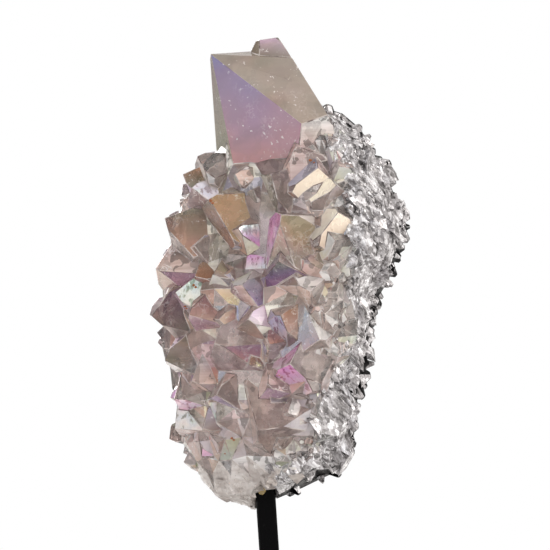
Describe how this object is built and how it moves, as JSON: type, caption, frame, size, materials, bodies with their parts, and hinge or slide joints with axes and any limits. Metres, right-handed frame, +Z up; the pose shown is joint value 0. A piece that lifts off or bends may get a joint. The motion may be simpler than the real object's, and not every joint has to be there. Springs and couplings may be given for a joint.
{
  "type": "aura quartz crystal on stand",
  "caption": "Coated quartz crystal cluster with a broken geode edge, held upright on a square bar that stands in a flat square base.",
  "frame": {"origin": "middle of the base's underside, on the square bar's axis", "axes": "+Z up along the bar, -Y towards the side that the picture shows, +X to its right"},
  "size_m": [0.0994, 0.095, 0.2293],
  "materials": {
    "quartz": "polished",
    "glue": "satin",
    "black_paint": "gloss"
  },
  "bodies": {
    "root": {"quartz_cluster": "quartz", "glue_bead": "glue", "stand_rod": "black_paint", "stand_base": "black_paint"}
  },
  "joints": []
}
